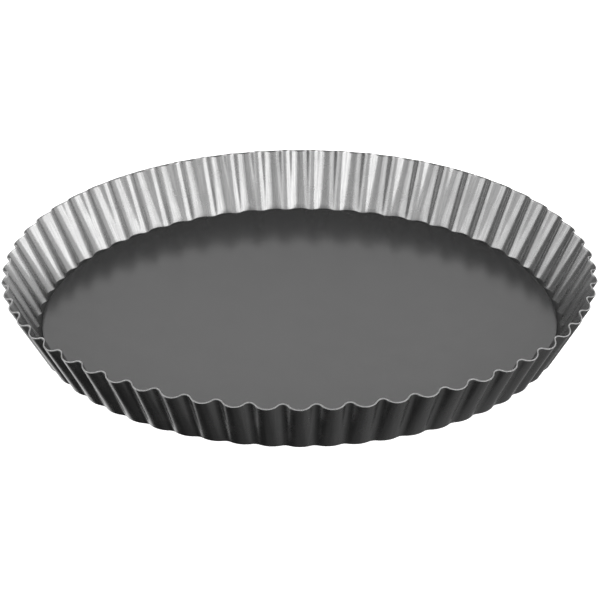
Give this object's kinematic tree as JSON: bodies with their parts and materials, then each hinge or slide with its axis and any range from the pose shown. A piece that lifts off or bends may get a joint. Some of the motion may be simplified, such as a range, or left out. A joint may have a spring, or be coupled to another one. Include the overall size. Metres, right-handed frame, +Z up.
{
  "type": "tart pan",
  "caption": "Round fluted tart pan with a flared wall: a sheet-metal ring with an inward ledge and a loose flat base that lifts out, in dark satin non-stick coating.",
  "frame": {"origin": "on the ground at the centre of the pan, under the middle of the loose base", "axes": "+Z up along the pan's axis; -Y towards the front; the middle of a flute's lobe lies on -Y and on +X"},
  "size_m": [0.28, 0.28, 0.0285],
  "materials": {
    "ring_coating": "satin dark grey non-stick coating on pressed steel sheet, with a thin bare cut edge along the rim",
    "disc_coating": "satin dark grey non-stick coating on flat steel sheet"
  },
  "bodies": {
    "ring": {"fluted_ring": "ring_coating"},
    "base": {"base_disc": "disc_coating"}
  },
  "joints": [
    {"name": "base_lift", "type": "slide", "parent": "ring", "child": "base", "axis": [0, 0, 1], "range_m": [0, 0.04]}
  ]
}
